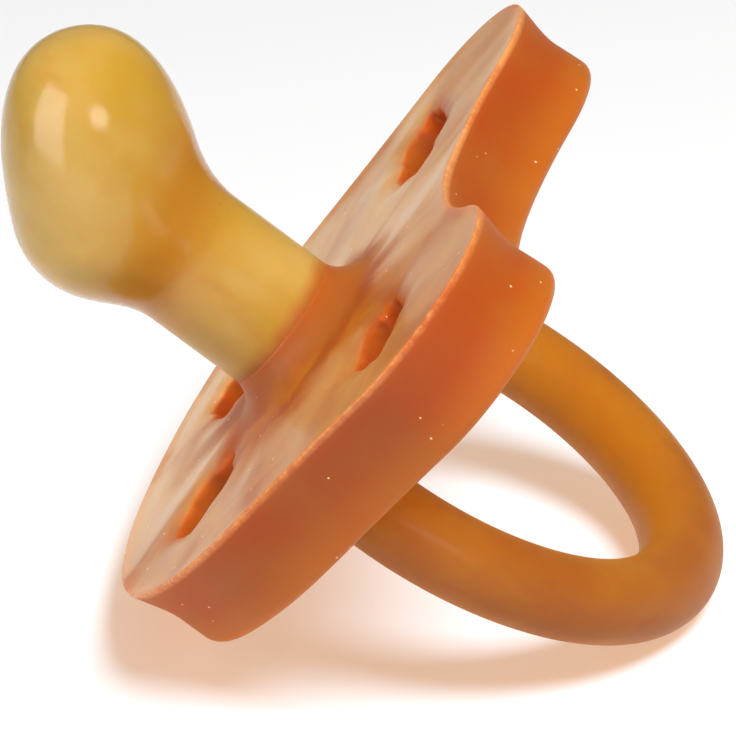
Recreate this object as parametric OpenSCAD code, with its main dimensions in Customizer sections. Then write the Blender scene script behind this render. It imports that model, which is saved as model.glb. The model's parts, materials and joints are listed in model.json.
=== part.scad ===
// Orthodontic pacifier moulded in natural rubber: hollow teat, butterfly shield with a
// back skirt, and a ring handle that flexes about its two roots.
// It lies as it does on a table, on the ring's far end and the shield's chin edge.
// Each sub-part is drawn about the teat's axis: +z is the teat, +y is the nose side.

/* [Shield] */
// Sideways distance from the teat axis to the centre of a wing's round corner
wing_x = 18.1; // [17.5:0.1:18.6]
// Distance of the same centre towards the nose
wing_y = 13.4; // [13:0.1:14]
// Radius of the wing's round corner
wing_r = 9.4; // [9:0.1:9.8]
// Radius of the nose notch
notch_r = 20.4; // [19:0.1:22]
// Radius of the slightly hollow side below a wing
side_r = 140; // [100:5:200]
// Sideways offset of the lower cheek's arc
cheek_x = 3.5; // [3:0.1:4]
// Radius of the lower cheek's arc
cheek_r = 20.5; // [20:0.1:21]
// Radius of the chin edge
chin_r = 28.2; // [27:0.1:30]
// Thickness of the face plate
face_t = 2.4; // [2:0.1:2.6]
// Depth from the face to the back edge of the skirt
shield_depth = 7.2; // [7:0.1:7.6]
// Thickness of the skirt's wall
skirt_t = 2.2; // [2:0.1:2.4]
// How far the skirt's wall draws in behind the front edge
skirt_waist = 0.75; // [0.5:0.05:0.9]

/* [Vents] */
// Length and width of an upper vent
upper_vent = [10.2, 5.2]; // [5:0.1:11]
// Centre of the upper vent on the +x side
upper_vent_at = [16.2, 10.9]; // [10.5:0.1:16.6]
// Length and width of a lower vent
lower_vent = [8.8, 6.4]; // [6:0.1:9.2]
// Centre of the lower vent on the +x side
lower_vent_at = [8.8, -10.4]; // [-10.8:0.1:9.2]
// Turn of a lower vent
lower_vent_turn = -25; // [-35:1:-15]

/* [Teat] */
// Outside radius of the neck
neck_r = 5.25; // [5.15:0.05:5.4]
// How much thicker the neck's root is, inside the collar and the face
root_step = 0.3; // [0.2:0.05:0.4]
// Wall thickness of the hollow teat
teat_wall = 1.3; // [1.1:0.1:1.5]
// Height above the face where the neck starts to widen
flare_start = 10; // [9.5:0.1:10.5]
// Height above the face where the widening ends inside the bulb
flare_end = 16; // [15.5:0.1:16.2]
// How much the neck widens
flare_out = 1.3; // [1.1:0.1:1.4]
// Centre of the bulb, towards the nose and along the axis
bulb_at = [-0.5, 17.1]; // [-0.6:0.1:17.3]
// Lean of the bulb towards the nose
bulb_lean = 41.5; // [38:0.1:44]
// Largest radius of the bulb
bulb_r = 7.05; // [6.9:0.05:7.3]
// Length of the bulb in front of its largest section
bulb_front = 13.2; // [12.5:0.1:13.8]
// Length of the bulb behind its largest section
bulb_rear = 6.8; // [6.5:0.1:7.2]
// Power of the bulb's front curve: 2 is an ellipse, and more is blunter
bulb_blunt = 2.5; // [2:0.1:2.8]
// Radius of the fillet between neck and face
collar_r = 2.6; // [2:0.1:3]
// Radius of the boss that closes the neck at the back
boss_r = 7.2; // [6.8:0.1:7.6]
// Thickness of that boss
boss_t = 2; // [1.5:0.1:2.2]
// Radius of the air channel through the boss
air_r = 1; // [0.8:0.1:1.2]

/* [Ring handle] */
// Radius of the ring's centre line
ring_r = 17.5; // [17:0.1:18]
// Radius of the ring's round section
ring_tube_r = 3.05; // [2.9:0.05:3.2]
// Radius of the ball at each end of the ring
ring_ball_r = 3.2; // [3.1:0.05:3.3]
// Depth of the ring's flexing axis behind the face
root_depth = 6.1; // [6:0.1:6.2]
// Distance from that axis to the ring's centre
ring_reach = 8; // [7.6:0.1:8.4]
// Lean of the ring towards the nose when the pacifier lies on it
ring_lean = 8.8; // [6:0.1:10]
// Radius of a root pad
pad_r = 4.2; // [4:0.1:4.4]
// Gap between a leg's end and its pad
root_gap = 0.4; // [0.3:0.05:0.5]

/* [Hidden] */

$fn = 64;
amber = [0.84, 0.64, 0.29];
orange = [0.78, 0.45, 0.24];
deep_orange = [0.72, 0.38, 0.20];

// Distance of the ring's legs from the middle, where they meet the flexing axis
leg_x = sqrt(ring_r * ring_r - ring_reach * ring_reach);
root_r = neck_r + root_step;
collar_foot_r = root_r + collar_r;
pad_end_depth = 4.6;
back_edge_r = 1;
skirt_foot = [-skirt_waist - back_edge_r, -shield_depth + back_edge_r];

// Centres of the outline's arcs, worked out so that each arc runs smoothly into the next
notch_c = [0, wing_y + sqrt(pow(notch_r + wing_r, 2) - wing_x * wing_x)];
wing_c = [wing_x, wing_y];
cheek_c = [cheek_x, 0];
chin_c = [0, sqrt(pow(chin_r - cheek_r, 2) - cheek_x * cheek_x)];
side_c = far_centre(wing_c, wing_r + side_r, cheek_c, cheek_r + side_r);
chin_y = chin_c.y - chin_r;

// The point at distance ra from a and rb from b, on the +x side
function far_centre(a, ra, b, rb) =
    let (d = norm(b - a), u = (b - a) / d, t = (ra * ra - rb * rb + d * d) / (2 * d))
    a + u * t + [-u.y, u.x] * sqrt(ra * ra - t * t);
function bearing(from, to) = atan2(to.y - from.y, to.x - from.x);
function arc(c, r, a0, a1, n) = [for (i = [0:n - 1]) c + r * unit_at(a0 + (a1 - a0) * i / n)];
function unit_at(a) = [cos(a), sin(a)];

// Half the shield's outline from the notch to the chin, moved outwards by grow
function half_outline(grow) = concat(
    arc(notch_c, notch_r - grow, -90, bearing(notch_c, wing_c), 8),
    arc(wing_c, wing_r + grow, bearing(wing_c, notch_c), bearing(wing_c, side_c), 14),
    arc(side_c, side_r - grow, full(bearing(side_c, wing_c)), full(bearing(side_c, cheek_c)), 4),
    arc(cheek_c, cheek_r + grow, bearing(cheek_c, side_c), bearing(chin_c, cheek_c), 8),
    arc(chin_c, chin_r + grow, bearing(chin_c, cheek_c), -90, 6),
    [[0, chin_c.y - chin_r - grow]]);
function full(a) = a < 0 ? a + 360 : a;
function outline(grow = 0) =
    let (half = half_outline(grow), n = len(half))
    concat(half, [for (i = [n - 2:-1:1]) [-half[i].x, half[i].y]]);

// A closed sleeve: each [grow, z] of the profile is one ring of the outline
function loop_points(profile) =
    [for (p = profile) each [for (q = outline(p[0])) [q.x, q.y, p[1]]]];
function loop_faces(rings, n) =
    [for (k = [0:rings - 1], i = [0:n - 1], half = [0, 1])
        let (a = k * n + i, b = k * n + (i + 1) % n,
             c = (k + 1) % rings * n + (i + 1) % n, d = (k + 1) % rings * n + i)
        half == 0 ? [a, c, b] : [a, d, c]];

// How the pacifier lies: the turn that brings chin edge and ring end to one level
edge_p = [chin_y - skirt_foot[0], skirt_foot[1]];
tip_reach = ring_reach + ring_r;
tip_p = [tip_reach * sin(ring_lean), -root_depth - tip_reach * cos(ring_lean)];
span = edge_p - tip_p;
rest_turn = atan2(span.x, span.y) + acos((back_edge_r - ring_tube_r) / norm(span));
rest_lift = back_edge_r - edge_p.x * sin(rest_turn) - edge_p.y * cos(rest_turn);
bulb_turn = rest_turn - bulb_lean;
dual = bulb_blunt / (bulb_blunt - 1);
bulb_reach = pow(pow(bulb_front * sin(bulb_turn), dual) + pow(bulb_r * cos(bulb_turn), dual), 1 / dual);
front_y = bulb_at.x * cos(rest_turn) - bulb_at.y * sin(rest_turn) - bulb_reach;
back_y = tip_p.x * cos(rest_turn) - tip_p.y * sin(rest_turn) + ring_tube_r;

module at_rest() {
    translate([0, -(front_y + back_y) / 2, rest_lift]) rotate([rest_turn, 0, 0]) children();
}

// Round lobed opening: five soft lobes round an oval
module vent_shape(size) {
    lobe = 0.07;
    polygon([for (a = [0:7.5:352.5]) let (r = 1 + lobe * cos(5 * a - 90))
        [r * size[0] / 2 * cos(a), r * size[1] / 2 * sin(a)]]);
}

module on_both_sides() {
    children();
    mirror([1, 0, 0]) children();
}

// The teat's outer shape, or its hollow when inset is the wall thickness
module teat_shape(inset) {
    steps = 10;
    neck = neck_r - inset;
    rotate_extrude() polygon(concat(
        [[0, 0], [neck, 0]],
        [for (i = [0:steps]) let (t = i / steps)
            [neck + flare_out * t * t, flare_start + (flare_end - flare_start) * t]],
        [[0, flare_end]]));
    translate([0, bulb_at.x, bulb_at.y]) rotate([-bulb_lean, 0, 0]) rotate_extrude()
        polygon(concat(
            [[0, -bulb_rear + inset]],
            [for (a = [-80:10:0]) [(bulb_r - inset) * cos(a), (bulb_rear - inset) * sin(a)]],
            [for (a = [10:10:80])
                [(bulb_r - inset) * pow(cos(a), 2 / bulb_blunt), (bulb_front - inset) * pow(sin(a), 2 / bulb_blunt)]],
            [[0, bulb_front - inset]]));
}

module teat() {
    color(amber) at_rest() difference() {
        union() {
            teat_shape(0);
            translate([0, 0, -face_t]) cylinder(r = root_r, h = face_t + collar_r);
        }
        teat_shape(teat_wall);
        translate([0, 0, -face_t - 1]) cylinder(r = neck_r - teat_wall, h = face_t + 2);
    }
}

// Ring moulded round the neck's root: as thick as the face plate, with a fillet up the neck
module neck_collar() {
    color(deep_orange) at_rest() rotate_extrude() difference() {
        translate([root_r, -face_t]) square([collar_r, face_t + collar_r]);
        translate([collar_foot_r, collar_r]) circle(r = collar_r);
    }
}

module shield_face() {
    color(orange) at_rest() translate([0, 0, -face_t]) linear_extrude(face_t) difference() {
        polygon(outline());
        circle(r = collar_foot_r);
        on_both_sides() translate(upper_vent_at) vent_shape(upper_vent);
        on_both_sides() translate(lower_vent_at) rotate(lower_vent_turn) vent_shape(lower_vent);
    }
}

module shield_skirt() {
    edge = [for (a = [0, 30, 60, 90]) skirt_foot + back_edge_r * [cos(a), -sin(a)]];
    inner = -skirt_waist - skirt_t;
    profile = concat(
        [[0, -face_t], [-0.6 * skirt_waist, -face_t - 1], [-skirt_waist, -face_t - 2.2]],
        edge,
        [[inner + 0.4, -shield_depth], [inner, -shield_depth + 0.5], [inner, -face_t]]);
    color(orange) at_rest()
        polyhedron(loop_points(profile), loop_faces(len(profile), len(outline())));
}

module back_boss() {
    color(deep_orange) at_rest() translate([0, 0, -face_t - boss_t]) difference() {
        cylinder(r = boss_r, h = boss_t);
        translate([0, 0, -1]) cylinder(r = air_r, h = boss_t + 2);
    }
}

// Pad on the back of the face plate, with a round seat for the end of a ring leg
module ring_root(side) {
    color(deep_orange) at_rest() difference() {
        translate([side * leg_x, 0, -pad_end_depth]) cylinder(r = pad_r, h = pad_end_depth - face_t);
        translate([side * leg_x, 0, -root_depth]) sphere(r = ring_ball_r + root_gap);
    }
}

module ring_root_left() { ring_root(1); }
module ring_root_right() { ring_root(-1); }

module ring_handle() {
    leg_angle = asin(ring_reach / ring_r);
    color(orange) at_rest() translate([0, 0, -root_depth]) rotate([ring_lean, 0, 0]) {
        translate([0, 0, -ring_reach]) rotate([90, 0, 0]) rotate([0, 0, 180 - leg_angle])
            rotate_extrude(angle = 180 + 2 * leg_angle)
                translate([ring_r, 0]) circle(r = ring_tube_r);
        on_both_sides() translate([leg_x, 0, 0]) sphere(r = ring_ball_r);
    }
}

teat();
neck_collar();
shield_face();
shield_skirt();
back_boss();
ring_root_left();
ring_root_right();
ring_handle();
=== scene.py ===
import json
import math

import bpy
import bmesh
import numpy as np
from mathutils import Matrix, Vector
from mathutils.geometry import delaunay_2d_cdt


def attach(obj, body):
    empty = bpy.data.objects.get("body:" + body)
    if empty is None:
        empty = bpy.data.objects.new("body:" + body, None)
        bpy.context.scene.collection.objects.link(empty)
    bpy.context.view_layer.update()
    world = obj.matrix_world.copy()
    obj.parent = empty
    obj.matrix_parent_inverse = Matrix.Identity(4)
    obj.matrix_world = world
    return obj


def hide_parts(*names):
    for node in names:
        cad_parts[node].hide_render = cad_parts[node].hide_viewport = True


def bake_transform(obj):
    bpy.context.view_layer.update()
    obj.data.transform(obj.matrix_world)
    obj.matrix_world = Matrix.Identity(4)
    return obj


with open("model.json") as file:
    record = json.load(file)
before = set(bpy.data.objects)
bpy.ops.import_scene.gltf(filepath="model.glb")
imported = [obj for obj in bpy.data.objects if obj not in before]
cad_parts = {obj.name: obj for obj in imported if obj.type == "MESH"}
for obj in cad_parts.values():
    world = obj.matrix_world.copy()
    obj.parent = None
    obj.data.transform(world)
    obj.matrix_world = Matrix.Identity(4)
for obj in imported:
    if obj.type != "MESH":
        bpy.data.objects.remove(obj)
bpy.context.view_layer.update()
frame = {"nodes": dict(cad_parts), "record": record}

record = frame["record"]
print("frame loaded with", len(frame["nodes"]), "nodes")

# Every piece is drawn in millimetres about the teat's axis, as the part is: x across the
# shield, y towards the nose, z up the teat, with the origin in the middle of the face.
teatMount = next(m for m in record["mounts"] if m["name"] == "teat_neck")
flexJoint = next(j for j in record["behaviour"]["joints"] if j["name"] == "ring_flex")
flexDepth = 6.1  # from the face back to the ring's flexing axis
teatAxis = np.array(teatMount["axis"]) / np.linalg.norm(teatMount["axis"])
sideAxis = np.array([1.0, 0.0, 0.0])
noseAxis = np.cross(teatAxis, sideAxis)
faceCentre = np.array(flexJoint["pos_m"]) + teatAxis * flexDepth / 1000


def placed(points):
    return faceCentre + np.asarray(points) / 1000 @ np.array([sideAxis, noseAxis, teatAxis])


def smoothStep(low, high, value):
    t = np.clip((value - low) / (high - low), 0, 1)
    return t * t * (3 - 2 * t)


def turnPoints(count):
    return np.arange(count) * 2 * math.pi / count


# The camera, the lamps and the room

viewSetup = {
    "azimuth": 97.28,
    "elevation": 25.02,
    "roll": -2.62,
    "distance": 0.45875,
    "lens": 314.1,  # on the 36 mm sensor
    "aimSide": 0.00450,  # how far right of and below the face's middle the camera looks
    "aimDown": 0.00200,
}


def towards(azimuth, elevation):
    a = math.radians(azimuth)
    e = math.radians(elevation)
    return Vector((math.sin(a) * math.cos(e), -math.cos(a) * math.cos(e), math.sin(e)))


def placeCamera(setup):
    back = towards(setup["azimuth"], setup["elevation"])
    roll = Matrix.Rotation(math.radians(setup["roll"]), 3, "Z")
    turn = (-back).to_track_quat("-Z", "Y").to_matrix() @ roll
    camera = bpy.data.objects.new("camera", bpy.data.cameras.new("camera"))
    bpy.context.scene.collection.objects.link(camera)
    middle = Vector(faceCentre)
    aim = middle + turn @ Vector((setup["aimSide"], -setup["aimDown"], 0))
    eye = middle + back * setup["distance"]
    ahead = (aim - eye).normalized()
    right = turn @ Vector((1, 0, 0))
    up = right.cross(ahead).normalized()
    right = ahead.cross(up)
    camera.matrix_world = Matrix.Translation(eye) @ Matrix((right, up, -ahead)).transposed().to_4x4()
    camera.data.sensor_width = 36
    camera.data.lens = setup["lens"]
    camera.data.clip_start = 0.01
    camera.data.clip_end = 10
    bpy.context.scene.camera = camera


passing = (0.42, 0.2, 0.035)  # how much red, green and blue light the real rubber lets through
lightSetup = {
    # azimuth and elevation in degrees, metres away, size, shape, whether it lights or only
    # shines, and the share of each colour that the rubber doesn't hold back
    "key": {"from": (132, 56), "away": 0.6, "size": (0.24, 0.24), "shape": "ELLIPSE",
            "watts": 4.3, "role": "light", "through": passing},
    "fill": {"from": (48, 44), "away": 0.9, "size": (0.9, 0.9), "shape": "ELLIPSE",
             "watts": 4.8, "role": "light", "through": (1, 1, 1)},
    "spot": {"from": (113, 31), "away": 0.6, "size": (0.26, 0.17), "shape": "ELLIPSE",
             "watts": 0.7, "role": "shine", "through": (0, 0, 0)},
    "leftPanel": {"from": (38, 13), "away": 0.55, "size": (0.42, 0.70), "shape": "RECTANGLE",
                  "watts": 4.0, "role": "shine", "through": (0, 0, 0)},
    "lowCard": {"from": (122, 6), "away": 0.6, "size": (0.6, 0.26), "shape": "RECTANGLE",
                "watts": 0.15, "role": "shine", "through": (0, 0, 0)},
}
roomSetup = {"colour": (1.0, 0.99, 0.98, 1), "strength": 0.19}
unblocked = bpy.data.collections.new("rubber")
teatOnly = bpy.data.collections.new("thinRubber")  # the teat's wall is too thin to throw a shadow


def placeLight(name, values, share, passes):
    lamp = bpy.data.lights.new(name, "AREA")
    lamp.shape = values["shape"]
    lamp.size, lamp.size_y = values["size"]
    lamp.energy = values["watts"]
    lamp.color = share
    light = bpy.data.objects.new(name, lamp)
    back = towards(*values["from"])
    place = Matrix.Translation(Vector(faceCentre) + back * values["away"])
    light.matrix_world = place @ back.to_track_quat("Z", "Y").to_matrix().to_4x4()
    light.visible_diffuse = values["role"] == "light"
    light.visible_glossy = values["role"] == "shine"
    bpy.context.scene.collection.objects.link(light)
    light.light_linking.blocker_collection = unblocked if passes else teatOnly


placeCamera(viewSetup)
for lightName, lightValues in lightSetup.items():
    through = lightValues["through"]
    if min(through) < 1:
        placeLight(lightName, lightValues, [1 - part for part in through], False)
    if max(through) > 0:
        placeLight(lightName + "Through", lightValues, through, True)
room = bpy.data.worlds.new("softRoom")
room.use_nodes = True
room.node_tree.nodes["Background"].inputs["Color"].default_value = roomSetup["colour"]
room.node_tree.nodes["Background"].inputs["Strength"].default_value = roomSetup["strength"]
bpy.context.scene.world = room
bpy.context.scene.view_settings.view_transform = "Standard"
print("camera and lights placed")


# Shader maths: an expression on wires adds its Math nodes

def linear(red, green, blue):
    def channel(value):
        value = value / 255
        return value / 12.92 if value <= 0.04045 else ((value + 0.055) / 1.055) ** 2.4
    return (channel(red), channel(green), channel(blue), 1)


class Wire:
    def __init__(self, recipe, socket):
        self.recipe = recipe
        self.socket = socket

    def maths(self, operation, *values):
        return self.recipe.add("ShaderNodeMath", {"operation": operation}, dict(enumerate(values)))

    def __add__(self, other):
        return self.maths("ADD", self, other)

    def __mul__(self, other):
        return self.maths("MULTIPLY", self, other)

    def __sub__(self, other):
        return self.maths("SUBTRACT", self, other)

    def __rsub__(self, other):
        return self.maths("SUBTRACT", other, self)

    __radd__ = __add__
    __rmul__ = __mul__


class Recipe:
    def __init__(self, name):
        self.material = bpy.data.materials.new(name)
        self.material.use_nodes = True
        self.tree = self.material.node_tree
        self.tree.nodes.clear()

    def add(self, kind, settings=None, values=None, output=0):
        node = self.tree.nodes.new(kind)
        for key, value in (settings or {}).items():
            setattr(node, key, value)
        for key, value in (values or {}).items():
            if isinstance(value, Wire):
                self.tree.links.new(value.socket, node.inputs[key])
            else:
                node.inputs[key].default_value = value
        return Wire(self, node.outputs[output]) if node.outputs else node

    def mix(self, factor, first, second):
        return self.add("ShaderNodeMix", {"data_type": "RGBA"}, {0: factor, 6: first, 7: second}, 2)

    def between(self, value, low, high, fromValue=0.0, toValue=1.0):
        settings = {"interpolation_type": "SMOOTHSTEP"}
        return self.add("ShaderNodeMapRange", settings,
                        {0: value, 1: low, 2: high, 3: fromValue, 4: toValue})

    def attribute(self, name, output):
        return self.add("ShaderNodeAttribute", {"attribute_name": name}, output=output)

    def stretch(self, vector, scale):
        return self.add("ShaderNodeVectorMath", {"operation": "MULTIPLY"}, {0: vector, 1: scale})

    def noise(self, vector, scale, detail=2.0, roughness=0.5, distortion=0.0):
        return self.add("ShaderNodeTexNoise", None, {"Vector": vector, "Scale": scale, "Detail": detail,
                                                     "Roughness": roughness, "Distortion": distortion})

    def finishWith(self, values, bump, bumpStrength, bumpDistance):
        normal = self.add("ShaderNodeBump", None,
                          {"Height": bump, "Strength": bumpStrength, "Distance": bumpDistance})
        shader = self.add("ShaderNodeBsdfPrincipled", {"subsurface_method": "RANDOM_WALK"},
                          {**values, "Normal": normal})
        self.add("ShaderNodeOutputMaterial", None, {"Surface": shader})
        return self.material


def dustSpecks(recipe, place, perMillimetre, size, share):
    cells = {"Vector": place, "Scale": perMillimetre}
    near = recipe.add("ShaderNodeTexVoronoi", {"feature": "F1"}, cells, 0)
    colour = recipe.add("ShaderNodeTexVoronoi", {"feature": "F1"}, cells, 1)
    pick = recipe.add("ShaderNodeSeparateColor", None, {0: colour}, 0)
    return recipe.between(near, size, size * 0.4) * recipe.between(pick, share, share - 0.02)


rubberGlow = (1.0, 0.42, 0.12)  # red light travels furthest through the rubber


def rubberShader(setup, colour, roughness, coat):
    return {"Base Color": colour, "Roughness": roughness, "IOR": 1.5,
            "Specular IOR Level": setup["specular"], "Coat Weight": coat, "Coat Roughness": 0.14,
            "Subsurface Weight": 1.0, "Subsurface Radius": rubberGlow,
            "Subsurface Scale": setup["softness"]}


floorSetup = {"reach": 4.0, "dull": (0.79, 0.79, 0.79, 1), "pale": (0.81, 0.81, 0.81, 1), "roughness": 0.7}


def floorFinish(setup):
    recipe = Recipe("paleFloor")
    place = recipe.add("ShaderNodeTexCoord", output=3)
    colour = recipe.mix(recipe.noise(place, 3.0), setup["dull"], setup["pale"])
    shader = recipe.add("ShaderNodeBsdfPrincipled", None, {"Base Color": colour, "Specular IOR Level": 0.2,
                                                           "Roughness": setup["roughness"]})
    recipe.add("ShaderNodeOutputMaterial", None, {"Surface": shader})
    return recipe.material


def layFloor(setup):
    mesh = bpy.data.meshes.new("floor")
    corners = [(x * setup["reach"], y * setup["reach"], 0) for x, y in ((-1, -1), (1, -1), (1, 1), (-1, 1))]
    mesh.from_pydata(corners, [], [(0, 1, 2, 3)])
    mesh.materials.append(floorFinish(setup))
    floor = bpy.data.objects.new("floor", mesh)
    bpy.context.scene.collection.objects.link(floor)


layFloor(floorSetup)
print("floor laid")


# Skins are built from rings of points

class Skin:
    def __init__(self):
        self.points = []
        self.faces = []

    def addPoints(self, points):
        start = len(self.points)
        self.points.extend(np.asarray(points, dtype=float).tolist())
        return list(range(start, len(self.points)))

    def bridge(self, first, second):
        count = len(first)
        for i in range(count):
            j = (i + 1) % count
            self.faces.append((first[i], first[j], second[j], second[i]))

    def sleeve(self, rings):
        rings = [self.addPoints(ring) if isinstance(ring, np.ndarray) else ring for ring in rings]
        for first, second in zip(rings, rings[1:]):
            self.bridge(first, second)
        return rings[0], rings[-1]

    def closeWith(self, ring, point):
        tip = self.addPoints([point])[0]
        for i in range(len(ring)):
            self.faces.append((ring[i], ring[(i + 1) % len(ring)], tip))

    def makePiece(self, name, marks, material, slotName):
        mesh = bpy.data.meshes.new(name)
        mesh.from_pydata(placed(self.points).tolist(), [], self.faces)
        work = bmesh.new()
        work.from_mesh(mesh)
        bmesh.ops.recalc_face_normals(work, faces=work.faces)
        work.to_mesh(mesh)
        work.free()
        marks = {"local": np.array(self.points), **marks}
        for key, values in marks.items():
            values = np.asarray(values, dtype=np.float32)
            if values.ndim == 2:
                mesh.attributes.new(key, "FLOAT_VECTOR", "POINT").data.foreach_set("vector", values.ravel())
            else:
                mesh.attributes.new(key, "FLOAT", "POINT").data.foreach_set("value", values)
        mesh.shade_smooth()
        mesh.materials.append(material)
        piece = bpy.data.objects.new(name, mesh)
        bpy.context.scene.collection.objects.link(piece)
        print("made", name, "with", len(mesh.polygons), "faces")
        return piece


def atHeight(flat, height):
    return np.column_stack([flat, np.broadcast_to(height, len(flat))])


# The shield: face, skirt, collar, boss and root pads in one moulding

shieldSetup = {
    "wingAt": (18.1, 13.4),  # the outline's arcs, from the nose notch round to the chin
    "wingR": 9.4,
    "notchR": 20.4,
    "sideR": 140.0,
    "cheekX": 3.5,
    "cheekR": 20.5,
    "chinR": 28.2,
    "faceThick": 2.4,
    "depth": 7.2,
    "skirtThick": 2.2,
    "waist": 0.75,  # how far the wall draws in behind the front edge
    "wingFlare": 0.3,  # how much less the wings draw in at the back than the chin
    "backEdgeR": 1.0,
    "frontEdgeR": 0.16,
    "lipHeight": 0.15,
    "lipWidth": 1.5,
    "innerFillet": 1.0,
    "bossR": 7.2,
    "bossHeight": 2.0,
    "padAt": 15.3,
    "padR": 4.7,
    "padHeight": 2.2,
    "airR": 1.0,
    "collarR": 2.6,
    "neckR": 5.25,
    "seatR": 4.8,  # the hole that the neck's wall fills
    "around": 96,
    "gridStep": 0.6,
    "swells": ((0.10, 5, 0.7, 14, 4.5), (0.06, 11, 2.1, 16, 4.0)),  # height, waves, turn, radius, width
    "vents": (
        # centre on the +x side, length and width, degrees turned, and each side's seed and how open
        {"at": (16.2, 10.9), "size": (10.2, 5.2), "turn": 0, "seeds": (3, 4), "open": (0.86, 0.97)},
        {"at": (8.8, -10.4), "size": (8.8, 6.4), "turn": -25, "seeds": (5, 6), "open": (0.86, 0.78)},
    ),
    "ventEdge": {"points": 84, "lobes": 5, "lobe": 0.08, "ragged": 0.03, "round": 0.4, "dimple": 0.3},
    "orange": linear(162, 82, 24),
    "red": linear(163, 70, 17),
    "gold": linear(182, 105, 24),
    # painted sheen: this pale colour stands in for the pale floor's reflection across the face, and also
    # colours the dust along the rim
    "paintedSheenAndDust": linear(221, 170, 108),
    "dust": linear(246, 214, 176),
    "root": linear(158, 86, 28),
    "roughness": 0.5,
    "specular": 0.2,
    "softness": 0.0022,
}
ventEdge = shieldSetup["ventEdge"]
allVents = [(vent, side) for vent in shieldSetup["vents"] for side in (0, 1)]


def farCentre(a, reachA, b, reachB):  # the point at both reaches, on the left from a to b
    a = np.array(a)
    b = np.array(b)
    apart = np.linalg.norm(b - a)
    way = (b - a) / apart
    along = (reachA * reachA - reachB * reachB + apart * apart) / (2 * apart)
    return a + way * along + np.array([-way[1], way[0]]) * math.sqrt(reachA * reachA - along * along)


def arcPoints(centre, radius, start, end, count):
    angles = start + (end - start) * np.arange(count) / count
    return np.array(centre) + radius * np.column_stack([np.cos(angles), np.sin(angles)])


def bearing(start, end):
    return math.atan2(end[1] - start[1], end[0] - start[0])


def outline(grow):
    s = shieldSetup
    wing = np.array(s["wingAt"])
    notch = np.array([0, wing[1] + math.sqrt((s["notchR"] + s["wingR"]) ** 2 - wing[0] ** 2)])
    cheek = np.array([s["cheekX"], 0])
    chin = np.array([0, math.sqrt((s["chinR"] - s["cheekR"]) ** 2 - s["cheekX"] ** 2)])
    side = farCentre(wing, s["wingR"] + s["sideR"], cheek, s["cheekR"] + s["sideR"])
    quarter = math.pi / 2
    half = np.vstack([
        arcPoints(notch, s["notchR"] - grow, -quarter, bearing(notch, wing), 20),
        arcPoints(wing, s["wingR"] + grow, bearing(wing, notch), bearing(wing, side), 44),
        arcPoints(side, s["sideR"] - grow, bearing(side, wing) % (2 * math.pi),
                  bearing(side, cheek) % (2 * math.pi), 14),
        arcPoints(cheek, s["cheekR"] + grow, bearing(cheek, side), bearing(chin, cheek), 30),
        arcPoints(chin, s["chinR"] + grow, bearing(chin, cheek), -quarter, 20),
        [[0, chin[1] - s["chinR"] - grow]]])
    return np.vstack([half, half[-2:0:-1] * [-1, 1]])


def circle(radius, count, centre=(0, 0)):
    turn = turnPoints(count)
    return np.array(centre) + radius * np.column_stack([np.cos(turn), np.sin(turn)])


def ventLoop(vent, side, grow, ragged=1.0):
    turn = turnPoints(ventEdge["points"])
    chance = np.random.default_rng(vent["seeds"][side])
    reach = 1 + ventEdge["lobe"] * np.cos(ventEdge["lobes"] * turn - math.pi / 2)
    for wave in range(6, 14):
        swing = ragged * ventEdge["ragged"] * chance.normal() / 2
        reach = reach + swing * np.cos(wave * turn + chance.uniform(0, 2 * math.pi))
    length, width = np.array(vent["size"]) * vent["open"][side]
    flat = np.column_stack([reach * (length / 2 + grow) * np.cos(turn),
                            reach * (width / 2 + grow) * np.sin(turn)])
    t = math.radians(vent["turn"])
    flat = flat @ np.array([[math.cos(t), math.sin(t)], [-math.sin(t), math.cos(t)]]) + vent["at"]
    return flat * ([1, 1] if side == 0 else [-1, 1])


def nearest(points, loop):
    points = np.asarray(points)
    best = np.full(len(points), np.inf)
    for spot in loop:
        best = np.minimum(best, np.hypot(points[:, 0] - spot[0], points[:, 1] - spot[1]))
    return best


def inside(points, loop):
    points = np.asarray(points)
    within = np.zeros(len(points), bool)
    for (x0, y0), (x1, y1) in zip(loop, np.roll(loop, -1, axis=0)):
        crosses = (y0 > points[:, 1]) != (y1 > points[:, 1])
        at = x0 + (points[:, 1] - y0) * (x1 - x0) / (y1 - y0 if y1 != y0 else 1e-12)
        within ^= crosses & (points[:, 0] < at)
    return within


ventRims = [ventLoop(vent, side, 0) for vent, side in allVents]
rimLoop = outline(0)


def frontHeight(flat):
    s = shieldSetup
    r = np.hypot(flat[:, 0], flat[:, 1])
    turn = np.arctan2(flat[:, 1], flat[:, 0])
    lip = s["lipHeight"] * smoothStep(s["lipWidth"], 0, nearest(flat, rimLoop))
    swell = np.zeros(len(flat))
    for height, waves, start, radius, width in s["swells"]:
        swell = swell + height * np.sin(waves * turn + start) * np.exp(-((r - radius) / width) ** 2)
    dimple = np.zeros(len(flat))
    for rim in ventRims:
        dimple = np.maximum(dimple, np.exp(-(nearest(flat, rim) / 1.3) ** 2))
    return lip + swell - ventEdge["dimple"] * dimple


def backHeight(flat):
    s = shieldSetup
    r = np.hypot(flat[:, 0], flat[:, 1])
    boss = s["bossHeight"] * smoothStep(s["bossR"] + 1.1, s["bossR"] - 0.5, r)
    pad = np.hypot(np.abs(flat[:, 0]) - s["padAt"], flat[:, 1])
    pads = s["padHeight"] * smoothStep(s["padR"] + 1.0, s["padR"] - 0.6, pad)
    return -s["faceThick"] - np.maximum(boss, pads)


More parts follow.
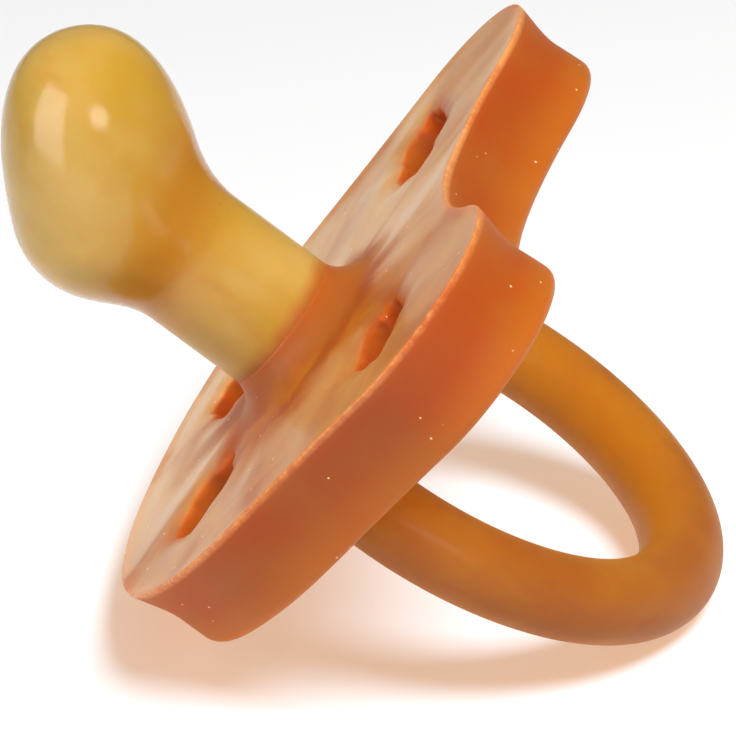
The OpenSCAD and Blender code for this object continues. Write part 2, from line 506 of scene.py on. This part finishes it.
def addSheet(skin, outer, holes, guides, height):
    accepted = np.vstack([outer] + holes)
    edges = []
    start = 0
    for loop in [outer] + holes:
        count = len(loop)
        edges += [(start + i, start + (i + 1) % count) for i in range(count)]
        start += count
    step = shieldSetup["gridStep"]
    reach = np.abs(outer).max() + step
    rows = np.arange(-reach, reach, step * math.sqrt(3) / 2)
    grid = np.array([(x + (k % 2) * step / 2, y) for k, y in enumerate(rows)
                     for x in np.arange(-reach, reach, step)])
    for candidates, room in [(guide, 0.24) for guide in guides] + [(grid, step * 0.62)]:
        keep = inside(candidates, outer)
        for hole in holes:
            keep &= ~inside(candidates, hole)
        candidates = candidates[keep]
        candidates = candidates[nearest(candidates, accepted) > room]
        accepted = np.vstack([accepted, candidates])
    found = delaunay_2d_cdt([Vector(p) for p in accepted], edges, [], 0, 1e-7)
    flat = np.array([tuple(p) for p in found[0]])
    triangles = np.array(found[2])
    middles = flat[triangles].mean(axis=1)
    keep = inside(middles, outer)
    for hole in holes:
        keep &= ~inside(middles, hole)
    ids = skin.addPoints(np.column_stack([flat, height(flat)]))
    skin.faces.extend(tuple(ids[i] for i in face) for face in triangles[keep])
    loops = []
    start = 0
    for loop in [outer] + holes:
        loops.append(ids[start:start + len(loop)])
        start += len(loop)
    return loops


def wallRing(grow, height):
    flat = outline(grow)
    wing = smoothStep(-12, 0, flat[:, 1])
    share = wing * smoothStep(2, shieldSetup["depth"], -height)
    wider = outline(grow + shieldSetup["wingFlare"])
    return atHeight(flat + (wider - flat) * share[:, None], height - 0.12 * share)


def raisedFront(flat, drop=0.0):
    return np.column_stack([flat, frontHeight(flat) + drop])


def buildShield():
    s = shieldSetup
    skin = Skin()
    count = s["around"]
    edgeR = s["frontEdgeR"]
    frontOuter = outline(-edgeR)
    collarFoot = s["neckR"] - 0.04 + s["collarR"]
    frontVents = [ventLoop(vent, side, ventEdge["round"]) for vent, side in allVents]
    backVents = [ventLoop(vent, side, 0.3, 0) for vent, side in allVents]
    guides = [outline(-g) for g in (0.45, 0.8, 1.2, 1.65)]
    guides += [ventLoop(vent, side, g) for vent, side in allVents for g in (0.7, 1.05, 1.5)]
    guides += [circle(collarFoot + 0.4, count)]
    frontLoops = addSheet(skin, frontOuter, [circle(collarFoot, count)] + frontVents, guides, frontHeight)

    backOuter = outline(-s["waist"] - s["skirtThick"] - s["innerFillet"])
    guides = [circle(s["bossR"] + g, 90) for g in (-0.6, -0.25, 0.1, 0.45, 0.8, 1.2)]
    guides += [circle(s["padR"] + g, 60, (side * s["padAt"], 0)) for side in (-1, 1)
               for g in (-0.65, -0.3, 0.05, 0.4, 0.75, 1.1)]
    guides += [ventLoop(vent, side, g) for vent, side in allVents for g in (0.55, 0.9)]
    backLoops = addSheet(skin, backOuter, [circle(s["airR"] + 0.3, count)] + backVents, guides, backHeight)

    # the front edge, the wall that draws in to a waist, the round back edge, the inside
    rings = [frontLoops[0]]
    rimHeight = frontHeight(frontOuter)
    for t in np.radians((25, 50, 70, 90)):
        rings.append(atHeight(outline(edgeR * (math.sin(t) - 1)), rimHeight - edgeR * (1 - math.cos(t))))
    foot = s["depth"] - s["backEdgeR"]
    for depth in np.linspace(0.45, foot, 14):
        fade = smoothStep(1.2, 0.0, depth)
        grow = -s["waist"] * smoothStep(-0.6, 4.0, depth) + 0.045 * fade
        rings.append(wallRing(grow, -depth))
    edgeCentre = -s["waist"] - s["backEdgeR"]
    for t in np.radians((15, 30, 45, 60, 75, 90)):
        grow = edgeCentre + s["backEdgeR"] * math.cos(t)
        rings.append(wallRing(grow, -foot - s["backEdgeR"] * math.sin(t)))
    inner = -s["waist"] - s["skirtThick"]
    for t in np.radians((0, 30, 60, 90)):
        rings.append(wallRing(inner + 0.5 * (1 - math.sin(t)), -s["depth"] + 0.5 * (1 - math.cos(t))))
    for depth in (6.0, 5.2, 4.4):
        rings.append(backWall(outline(inner), -depth))
    fillet = s["innerFillet"]
    for t in np.radians((0, 22, 45, 67)):
        rings.append(backWall(outline(inner - fillet * (1 - math.cos(t))),
                              -s["faceThick"] - fillet * (1 - math.sin(t))))
    rings.append(backLoops[0])
    skin.sleeve(rings)

    # each vent's round front edge, its wall and its back edge
    for number, (vent, side) in enumerate(allVents):
        rings = [frontLoops[2 + number]]
        for t in np.radians((20, 40, 60, 78, 90)):
            loop = ventLoop(vent, side, ventEdge["round"] * (1 - math.sin(t)))
            rings.append(raisedFront(loop, -ventEdge["round"] * (1 - math.cos(t))))
        for depth in (0.95, 1.35, 1.75, 2.1):
            rings.append(atHeight(ventLoop(vent, side, 0.05, 0.6 - depth / 4), -depth))
        rings.append(atHeight(ventLoop(vent, side, 0.1, 0), -s["faceThick"] + 0.08))
        rings.append(backLoops[2 + number])
        skin.sleeve(rings)

    # the collar's fillet up the neck, the seat under the neck's wall, and the air channel
    rings = [frontLoops[1]]
    for t in np.radians((8, 16, 25, 34, 43, 52, 60, 68, 75, 82)):
        flat = circle(collarFoot - s["collarR"] * math.sin(t), count)
        rings.append(raisedFront(flat, s["collarR"] * (1 - math.cos(t))))
    for radius, height in ((s["seatR"], 2.2), (s["seatR"], 0.6), (s["seatR"], -1.0), (s["seatR"], -2.45),
                           (2.8, -2.45), (s["airR"], -2.5), (s["airR"], -3.2), (s["airR"], -4.1)):
        rings.append(atHeight(circle(radius, count), height))
    rings.append(atHeight(circle(s["airR"] + 0.08, count), -s["faceThick"] - s["bossHeight"] + 0.1))
    rings.append(backLoops[1])
    skin.sleeve(rings)
    return skin


def backWall(flat, height):  # the pads run out into the skirt's inner wall
    s = shieldSetup
    bump = -s["faceThick"] - backHeight(flat)
    share = np.clip((height + s["depth"]) / (s["depth"] - s["faceThick"]), 0, 1) ** 2
    return np.column_stack([flat, height - bump * share])


def shieldFinish(setup):
    recipe = Recipe("orangeRubber")
    place = recipe.attribute("local", 1)
    rays = recipe.attribute("rays", 1)
    reach = recipe.attribute("reach", 2)
    front = recipe.attribute("front", 2)
    depth = recipe.attribute("depth", 2)
    rim = recipe.attribute("rim", 2)
    across = recipe.add("ShaderNodeSeparateXYZ", None, {0: place}, 0)
    cloud = recipe.noise(place, 0.13, 3.0)
    patch = recipe.noise(place, 0.22, 2.0, 0.5, 0.6)
    flow = recipe.noise(rays, 0.6, 2.0, 0.5, 0.6)
    fine = recipe.noise(place, 7.0, 4.0)
    colour = recipe.mix(recipe.between(cloud, 0.35, 0.68), setup["orange"], setup["red"])
    # painted light: the skirt is painted a lighter gold towards its back edge
    colour = recipe.mix(recipe.between(depth, 0.45, 1.0, 0.0, 0.6), colour, setup["gold"])
    colour = recipe.mix(recipe.between(patch, 0.4, 0.6) * front * 0.7, colour, setup["gold"])
    # painted sheen: the face is painted pale towards its outer part and more on its far side, standing in
    # for the reflection of the pale floor; the same mask adds coat and lowers roughness
    paintedSheenAndDust = recipe.between(reach + flow * 9.0 - across * 0.3, 12.5, 17.0)
    paintedSheenAndDust = paintedSheenAndDust * recipe.between(flow, 0.3, 0.62, 0.35, 1.0)
    paintedSheenAndDust = paintedSheenAndDust * recipe.between(across + patch * 12.0, 18.0, 2.0, 0.55, 1.0) * front
    colour = recipe.mix(paintedSheenAndDust * 0.85, colour, setup["paintedSheenAndDust"])
    colour = recipe.mix(recipe.between(reach + flow * 5.0, 11.5, 8.0), colour, setup["root"])
    colour = recipe.mix(rim * 0.45, colour, setup["red"])
    dusty = rim * recipe.between(recipe.noise(place, 1.6, 4.0, 0.7), 0.4, 0.65, 0.0, 0.35)
    speck = dustSpecks(recipe, place, 0.9, 0.11, 0.2)
    colour = recipe.mix(dusty, colour, setup["paintedSheenAndDust"])
    colour = recipe.mix(speck, colour, setup["dust"])
    roughness = fine * 0.10 + setup["roughness"] - 0.05 - paintedSheenAndDust * 0.1
    coat = paintedSheenAndDust * 0.45
    bump = flow * front * 0.5 + fine * 0.05 + cloud * 0.2 + speck * 0.8
    return recipe.finishWith(rubberShader(setup, colour, roughness, coat), bump, 0.5, 0.00015)


shieldSkin = buildShield()
shieldPoints = np.array(shieldSkin.points)
turn = np.arctan2(shieldPoints[:, 1], shieldPoints[:, 0])
reach = np.hypot(shieldPoints[:, 0], shieldPoints[:, 1])
level = shieldPoints[:, 2]
shieldMarks = {  # what the finish reads at each point
    "reach": reach,
    "rim": smoothStep(0.4, 0.1, nearest(shieldPoints[:, :2], rimLoop)) * smoothStep(-0.35, -0.1, level),
    "front": smoothStep(-0.5, -0.05, level),
    # how far back along the skirt, which sets the painted lighter gold of the back edge
    "depth": np.clip(-level / shieldSetup["depth"], 0, 1),
    "rays": np.column_stack([np.cos(turn) * 3.2, np.sin(turn) * 3.2, reach * 0.12]),
}
shieldPiece = shieldSkin.makePiece("shieldMoulding", shieldMarks, shieldFinish(shieldSetup), "shield_rubber")
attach(shieldPiece, "shield")
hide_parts("shield_face", "shield_skirt", "back_boss", "neck_collar",
            "ring_root_left", "ring_root_right")


# The hollow teat

teatSetup = {
    "neckR": 5.25,
    "wall": 1.3,
    "foot": -2.4,  # the end of the neck's wall, in its seat
    "straight": 5.6,  # the top of the straight neck
    "bulbAt": (-0.5, 17.1),  # towards the nose, up the axis
    "lean": 41.5,
    "front": 13.2,
    "rear": 6.8,
    "thick": 7.05,
    "wide": 7.5,
    "blunt": 2.45,  # the power of the front's curve
    "melt": 1.9,  # how softly neck and bulb run together
    "around": 96,
    "honey": linear(178, 139, 43),
    "pale": linear(188, 153, 76),
    "amber": linear(178, 115, 22),
    "root": linear(172, 98, 34),
    "roughness": 0.2,
    "specular": 0.3,
    "softness": 0.0022,  # how far light travels in the rubber, in metres
}


def teatField(p):
    t = teatSetup
    lean = math.radians(t["lean"])
    d = p - np.array([0, t["bulbAt"][0], t["bulbAt"][1]])
    u = d @ np.array([0, math.sin(lean), math.cos(lean)])
    v = d @ np.array([0, math.cos(lean), -math.sin(lean)])
    long = np.where(u > 0, t["front"], t["rear"])
    power = np.where(u > 0, t["blunt"], 2.0)
    across = np.hypot(v / t["thick"], d[..., 0] / t["wide"])
    bulb = ((np.abs(u / long) ** power + across ** power) ** (1 / power) - 1) * t["thick"]
    neck = np.hypot(p[..., 0], p[..., 1]) - t["neckR"]
    neck = np.maximum(neck, p[..., 2] - t["bulbAt"][1])
    h = np.clip(0.5 + 0.5 * (neck - bulb) / t["melt"], 0, 1)
    return neck * (1 - h) + bulb * h - t["melt"] * h * (1 - h)


def surfaceAlong(centre, ways):
    low = np.zeros(len(ways))
    high = np.full(len(ways), 16.0)
    for step in range(26):
        middle = (low + high) / 2
        within = teatField(centre + ways * middle[:, None]) < 0
        low = np.where(within, middle, low)
        high = np.where(within, high, middle)
    return centre + ways * low[:, None]


def teatNormals(points):
    small = 1e-3
    slope = np.column_stack([teatField(points + small * axis) - teatField(points - small * axis)
                             for axis in np.eye(3)])
    return slope / np.linalg.norm(slope, axis=1)[:, None]


def buildTeat():
    t = teatSetup
    lean = math.radians(t["lean"])
    axis = np.array([0, math.sin(lean), math.cos(lean)])
    bulb = np.array([0, t["bulbAt"][0], t["bulbAt"][1]])
    end = bulb + axis * t["front"] * 0.3
    straight = [np.array([0, 0, z]) for z in np.linspace(t["foot"], t["straight"], 15)]
    knots = [np.array([0, 0, t["straight"] + 0.4]), np.array([0, 0, 13.0]), end - axis * 5.5, end]
    bend = []
    for share in np.linspace(0, 1, 44):
        rest = 1 - share
        bend.append(rest ** 3 * knots[0] + 3 * rest ** 2 * share * knots[1]
                    + 3 * rest * share ** 2 * knots[2] + share ** 3 * knots[3])
    centres = np.array(straight + bend)
    ahead = np.gradient(centres, axis=0)
    ahead /= np.linalg.norm(ahead, axis=1)[:, None]
    ahead[-1] = axis
    turn = turnPoints(t["around"])
    rings = []
    for centre, way in zip(centres, ahead):
        across = np.cross(way, [1, 0, 0])
        ways = np.cos(turn)[:, None] * np.array([1, 0, 0]) + np.sin(turn)[:, None] * across
        rings.append(surfaceAlong(centre, ways))
    across = np.cross(axis, [1, 0, 0])
    for lift in np.radians(np.linspace(3.5, 87.5, 25)):
        ways = np.cos(turn)[:, None] * np.array([1, 0, 0]) + np.sin(turn)[:, None] * across
        ways = ways * math.cos(lift) + axis * math.sin(lift)
        rings.append(surfaceAlong(end, ways))
    tip = surfaceAlong(end, axis[None, :])
    skin = Skin()
    outerFoot, outerTop = skin.sleeve(rings)
    skin.closeWith(outerTop, tip[0])
    innerRings = [ring - teatNormals(ring) * t["wall"] for ring in rings]
    innerFoot, innerTop = skin.sleeve(innerRings)
    skin.closeWith(innerTop, (tip - teatNormals(tip) * t["wall"])[0])
    skin.bridge(outerFoot, innerFoot)
    return skin


def teatFinish(setup):
    recipe = Recipe("honeyRubber")
    place = recipe.attribute("local", 1)
    height = recipe.add("ShaderNodeSeparateXYZ", None, {0: place}, 2)
    cloud = recipe.noise(place, 0.12, 3.0)
    streak = recipe.noise(recipe.stretch(place, (1.0, 1.0, 0.3)), 0.4, 2.5, 0.5, 0.4)
    fine = recipe.noise(place, 9.0, 3.0)
    colour = recipe.mix(recipe.between(cloud, 0.35, 0.65), setup["honey"], setup["pale"])
    colour = recipe.mix(recipe.between(streak, 0.52, 0.78, 0.0, 0.25), colour, setup["amber"])
    # painted shade: a darker amber band round the neck where the bulb meets it
    throatShade = recipe.attribute("throatShade", 2)
    colour = recipe.mix(throatShade * 0.7, colour, setup["amber"])
    root = recipe.between(height + streak * 1.6, 4.4, 2.9)
    colour = recipe.mix(root, colour, setup["root"])
    speck = dustSpecks(recipe, place, 0.45, 0.05, 0.2)
    colour = recipe.mix(speck * 0.5, colour, setup["pale"])
    roughness = fine * 0.08 + setup["roughness"] - 0.04 + recipe.between(height, 13.0, 8.0, 0.0, 0.25)
    coat = recipe.between(cloud, 0.3, 0.7, 0.2, 0.35) * (1.0 - root)
    bump = streak * 0.4 + fine * 0.06 + speck * 0.3
    return recipe.finishWith(rubberShader(setup, colour, roughness, coat), bump, 0.3, 0.00012)


teatSkin = buildTeat()
teatPoints = np.array(teatSkin.points)
# painted shade: a band centred 12 mm up the axis, where the bulb meets the neck
throatShade = teatPoints[:, 2] - 12.0 - teatPoints[:, 1] * 0.35  # up the axis from the darker band
teatMarks = {"throatShade": np.exp(-(throatShade / 3.0) ** 2)}
teatPiece = teatSkin.makePiece("teatBulb", teatMarks, teatFinish(teatSetup), "teat_rubber")
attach(teatPiece, "shield")
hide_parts("teat")


# The ring handle, whose legs end as domes inside their pads

ringSetup = {
    "radius": 17.5,
    "tube": 3.05,
    "reach": 8.0,  # from the flexing axis to the ring's centre
    "lean": 8.8,
    "rootLength": 3.2,  # how far each leg runs on past the flexing axis
    "dome": 2.7,
    "around": 64,
    "along": 220,
    "bendAt": (-1.6, 4.4),  # along a leg, where it stops following the shield and follows the ring
    "orange": linear(153, 86, 24),
    "gold": linear(176, 112, 20),
    "red": linear(145, 72, 24),
    # on the ring this pale colour is used only for the dust specks
    "paintedSheenAndDust": linear(196, 140, 90),
    "roughness": 0.5,
    "specular": 0.2,
    "softness": 0.0022,
}


def buildRing():
    g = ringSetup
    lean = math.radians(g["lean"])
    out = np.array([0, math.sin(lean), -math.cos(lean)])
    side = np.array([1.0, 0, 0])
    face = np.cross(out, side)
    hinge = np.array([0, 0, -flexDepth])
    middle = hinge + out * g["reach"]
    root = g["rootLength"] / g["radius"]
    start = -math.asin(g["reach"] / g["radius"]) - root
    end = math.pi - start
    turn = turnPoints(g["around"])
    rings = []
    inner = []
    for angle in np.linspace(start, end, g["along"]):
        spoke = math.cos(angle) * side + math.sin(angle) * out
        along = g["radius"] * min(angle - start, end - angle)
        left = max(0.0, 1.0 - along / g["dome"])  # 1 at the leg's tip, 0 where its dome ends
        tube = g["tube"] * max(0.06, math.sqrt(1.0 - left * left))
        centre = middle + g["radius"] * spoke
        section = np.cos(turn)[:, None] * spoke + np.sin(turn)[:, None] * face
        rings.append(centre + tube * section)
        # painted light: the side of the tube facing the ring's middle is marked for a lighter gold
        inner.append(smoothStep(-0.1, 0.9, -np.cos(turn)))
    skin = Skin()
    first, last = skin.sleeve(rings)
    skin.closeWith(first, rings[0].mean(axis=0))
    skin.closeWith(last, rings[-1].mean(axis=0))
    return skin, np.append(np.concatenate(inner), [0, 0]), hinge, out


def ringFinish(setup):
    recipe = Recipe("ringRubber")
    place = recipe.attribute("local", 1)
    cloud = recipe.noise(place, 0.11, 3.0)
    fine = recipe.noise(place, 7.0, 4.0)
    streak = recipe.noise(recipe.stretch(place, (0.4, 1.0, 0.4)), 0.6, 3.0, 0.5, 0.5)
    inner = recipe.attribute("inner", 2)
    colour = recipe.mix(recipe.between(cloud, 0.35, 0.65, 0.0, 0.5), setup["orange"], setup["gold"])
    colour = recipe.mix(recipe.between(streak, 0.5, 0.8, 0.0, 0.4), colour, setup["red"])
    # painted light: the ring's inner side is painted a lighter gold, standing in for light through the
    # rubber
    colour = recipe.mix(inner * 0.5, colour, setup["gold"])
    speck = dustSpecks(recipe, place, 0.4, 0.06, 0.2)
    colour = recipe.mix(speck * 0.7, colour, setup["paintedSheenAndDust"])
    roughness = fine * 0.10 + setup["roughness"] - 0.05
    coat = recipe.between(cloud, 0.3, 0.7, 0.0, 0.12)
    bump = streak * 0.3 + fine * 0.06 + speck * 0.3
    return recipe.finishWith(rubberShader(setup, colour, roughness, coat), bump, 0.4, 0.00012)


ringSkin, ringInnerLight, ringHinge, ringOut = buildRing()
ringPiece = ringSkin.makePiece("ringHandle", {"inner": ringInnerLight}, ringFinish(ringSetup), "ring_rubber")
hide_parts("ring_handle")
bendStart, bendEnd = [tuple(placed(ringHinge + ringOut * along)) for along in ringSetup["bendAt"]]
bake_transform(ringPiece)

# A share of the light passes through every piece

for piece in (shieldPiece, teatPiece, ringPiece):
    unblocked.objects.link(piece)
teatOnly.objects.link(teatPiece)
for group in (unblocked, teatOnly):
    for link in group.collection_objects:
        link.light_linking.link_state = "EXCLUDE"
